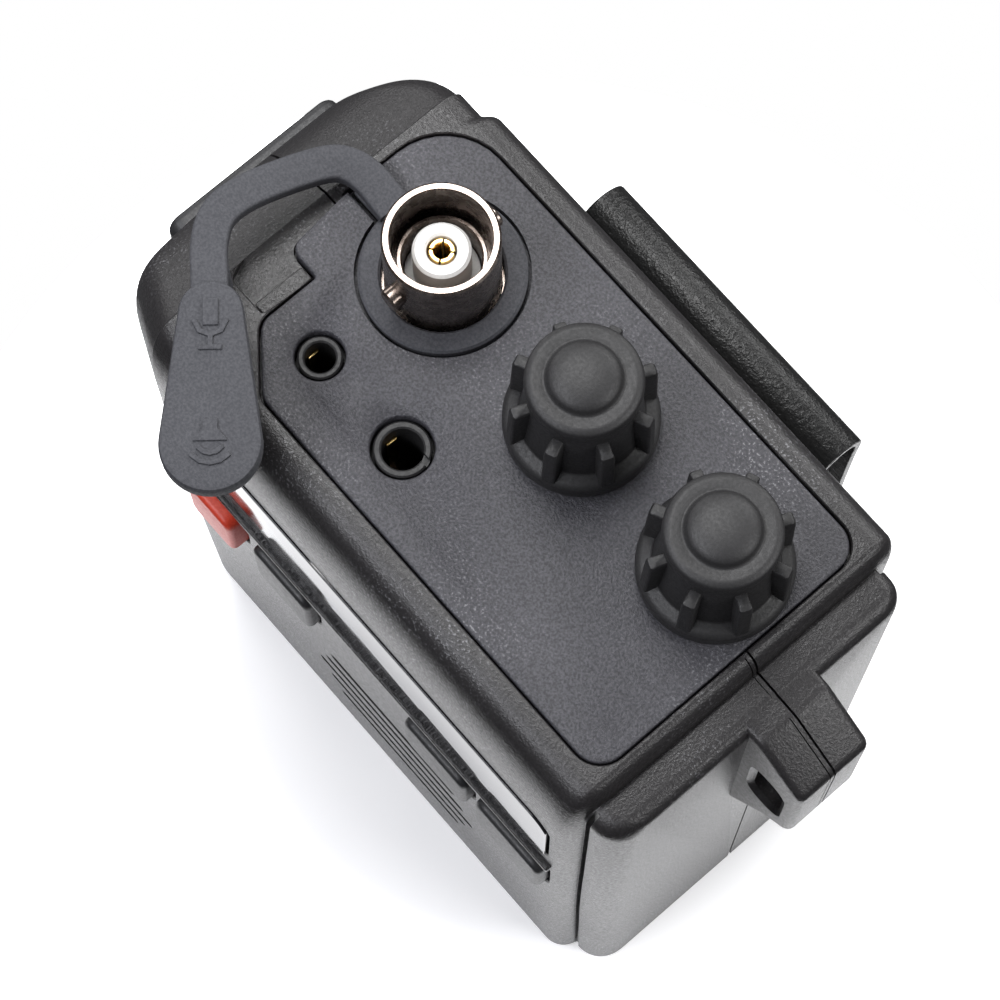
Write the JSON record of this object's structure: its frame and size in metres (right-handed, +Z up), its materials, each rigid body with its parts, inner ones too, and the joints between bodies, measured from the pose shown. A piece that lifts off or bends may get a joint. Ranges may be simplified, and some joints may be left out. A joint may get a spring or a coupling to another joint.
{
  "type": "handheld two-way radio",
  "caption": "Handheld two-way radio with bare antenna socket, rotary knobs, jacks under a rubber cover on a strap, side talk bar, front keys, strap eye and sprung belt clip.",
  "frame": {"origin": "middle of the flat base, on the line between the display side and the battery side", "axes": "+Z up towards the controls, -Y out of the display, +X towards the strap eye, +Y out of the belt-clip side"},
  "size_m": [0.0725, 0.0484, 0.0851],
  "materials": {
    "case_plastic": "satin black moulding with a fine sparkle texture",
    "panel_plastic": "fine leather-grain moulding",
    "knob_plastic": "soft matte moulding",
    "rubber": "matte moulded rubber",
    "red_rubber": "satin silicone rubber",
    "key_rubber": "satin black",
    "nickel": "bright nickel plate",
    "gold": "gold plate",
    "white_plastic": "white fluoropolymer",
    "black_paint": "semi-gloss black powder coat",
    "steel": "plated steel",
    "window_plastic": "clear gloss over black",
    "display_glass": "grey-green display",
    "circuit_board": "green solder mask",
    "cell_wrap": "printed shrink sleeve, plain",
    "speaker_paper": "pressed paper"
  },
  "bodies": {
    "case": {"front_shell": "case_plastic", "rear_shell": "case_plastic", "top_panel": "panel_plastic", "seal_ring": "rubber", "mic_jack": "key_rubber", "speaker_jack": "key_rubber", "processor_chip": "key_rubber", "antenna_lead": "key_rubber", "bnc_body": "nickel", "bnc_washer": "nickel", "bnc_nut": "nickel", "volume_pot_nut": "nickel", "squelch_pot_nut": "nickel", "rf_shield": "nickel", "battery_spring_1": "nickel", "battery_spring_2": "nickel", "battery_spring_3": "nickel", "battery_spring_4": "nickel", "bnc_contact": "gold", "bnc_insulator": "white_plastic", "clip_bracket": "steel", "clip_pin": "steel", "clip_spring": "steel", "clip_screw_1": "steel", "clip_screw_2": "steel", "case_screw_1": "steel", "case_screw_2": "steel", "volume_pot": "steel", "squelch_pot": "steel", "talk_switch": "steel", "speaker_frame": "steel", "speaker_magnet": "steel", "microphone": "steel", "key_switch_1": "steel", "key_switch_2": "steel", "key_switch_3": "steel", "key_switch_4": "steel", "display_window": "window_plastic", "lcd_module": "display_glass", "main_board": "circuit_board", "key_board": "circuit_board", "contact_plate": "circuit_board", "battery_cell_1": "cell_wrap", "battery_cell_2": "cell_wrap", "battery_cell_3": "cell_wrap", "battery_cell_4": "cell_wrap", "speaker_cone": "speaker_paper"},
    "volume_control": {"volume_knob": "knob_plastic", "volume_shaft": "steel"},
    "squelch_control": {"squelch_knob": "knob_plastic", "squelch_shaft": "steel"},
    "cover": {"jack_cover": "rubber"},
    "talk": {"talk_bar": "key_rubber"},
    "key_red": {"red_key": "red_rubber"},
    "key_left": {"left_key": "key_rubber"},
    "key_middle": {"middle_key": "key_rubber"},
    "key_right": {"right_key": "key_rubber"},
    "door": {"battery_door": "case_plastic"},
    "clip": {"belt_clip": "black_paint"}
  },
  "joints": [
    {"name": "volume_turn", "type": "hinge", "parent": "case", "child": "volume_control", "pos_m": [0.00255, 0.0043, 0.0726], "axis": [0, 0, -1], "range_deg": [0, 290]},
    {"name": "squelch_turn", "type": "hinge", "parent": "case", "child": "squelch_control", "pos_m": [0.0185, 0.0043, 0.0726], "axis": [0, 0, -1], "range_deg": [0, 290]},
    {"name": "cover_swing", "type": "hinge", "parent": "case", "child": "cover", "pos_m": [-0.0234, 0.0049, 0.072], "axis": [0, 0, 1], "range_deg": [0, 36.5]},
    {"name": "talk_press", "type": "slide", "parent": "case", "child": "talk", "axis": [1, 0, 0], "range_m": [0, 0.001], "stiffness_N_per_m": 2000, "springref_m": -0.0005},
    {"name": "red_key_press", "type": "slide", "parent": "case", "child": "key_red", "axis": [0, 1, 0], "range_m": [0, 0.0005], "stiffness_N_per_m": 1500, "springref_m": -0.0003},
    {"name": "left_key_press", "type": "slide", "parent": "case", "child": "key_left", "axis": [0, 1, 0], "range_m": [0, 0.0005], "stiffness_N_per_m": 1500, "springref_m": -0.0003},
    {"name": "middle_key_press", "type": "slide", "parent": "case", "child": "key_middle", "axis": [0, 1, 0], "range_m": [0, 0.0005], "stiffness_N_per_m": 1500, "springref_m": -0.0003},
    {"name": "right_key_press", "type": "slide", "parent": "case", "child": "key_right", "axis": [0, 1, 0], "range_m": [0, 0.0005], "stiffness_N_per_m": 1500, "springref_m": -0.0003},
    {"name": "door_slide", "type": "slide", "parent": "case", "child": "door", "axis": [0, 1, 0], "range_m": [0, 0.015]},
    {"name": "clip_open", "type": "hinge", "parent": "case", "child": "clip", "pos_m": [0, 0.0217, 0.0575], "axis": [1, 0, 0], "range_deg": [0, 18], "stiffness_Nm_per_rad": 0.5, "springref_deg": -8.59}
  ]
}
